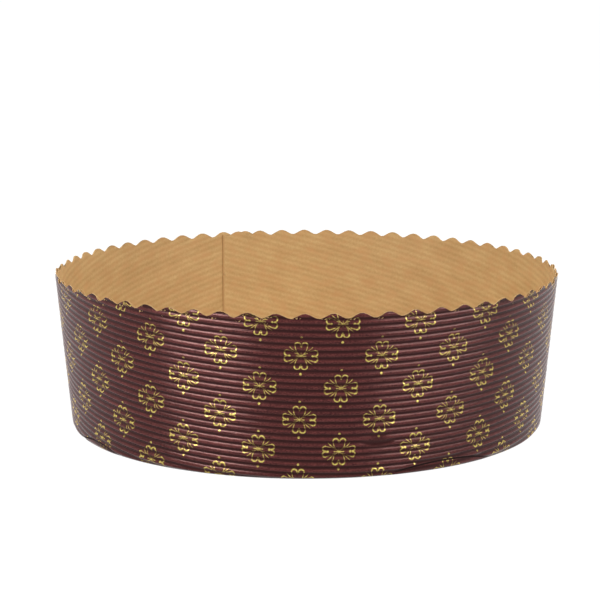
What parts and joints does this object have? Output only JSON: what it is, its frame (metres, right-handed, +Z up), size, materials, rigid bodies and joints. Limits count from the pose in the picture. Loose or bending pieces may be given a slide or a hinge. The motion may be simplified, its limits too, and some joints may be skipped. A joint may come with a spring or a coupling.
{
  "type": "baking mold",
  "caption": "Low round paper panettone mold: a flared wall of fluted board with a scalloped rim and a lapped seam, its foot folded in under a flat paper disc.",
  "frame": {"origin": "centre of the foot, on the surface that the mold stands on", "axes": "+Z up out of the mold's mouth, -Y towards the side that the picture shows, +X to the right of it"},
  "size_m": [0.2096, 0.2091, 0.065],
  "materials": {
    "printed_board": "printed maroon brown outside, plain kraft inside, faint sheen",
    "kraft_disc": "plain kraft, matt"
  },
  "bodies": {
    "root": {"corrugated_wall": "printed_board", "base_disc": "kraft_disc"}
  },
  "joints": []
}
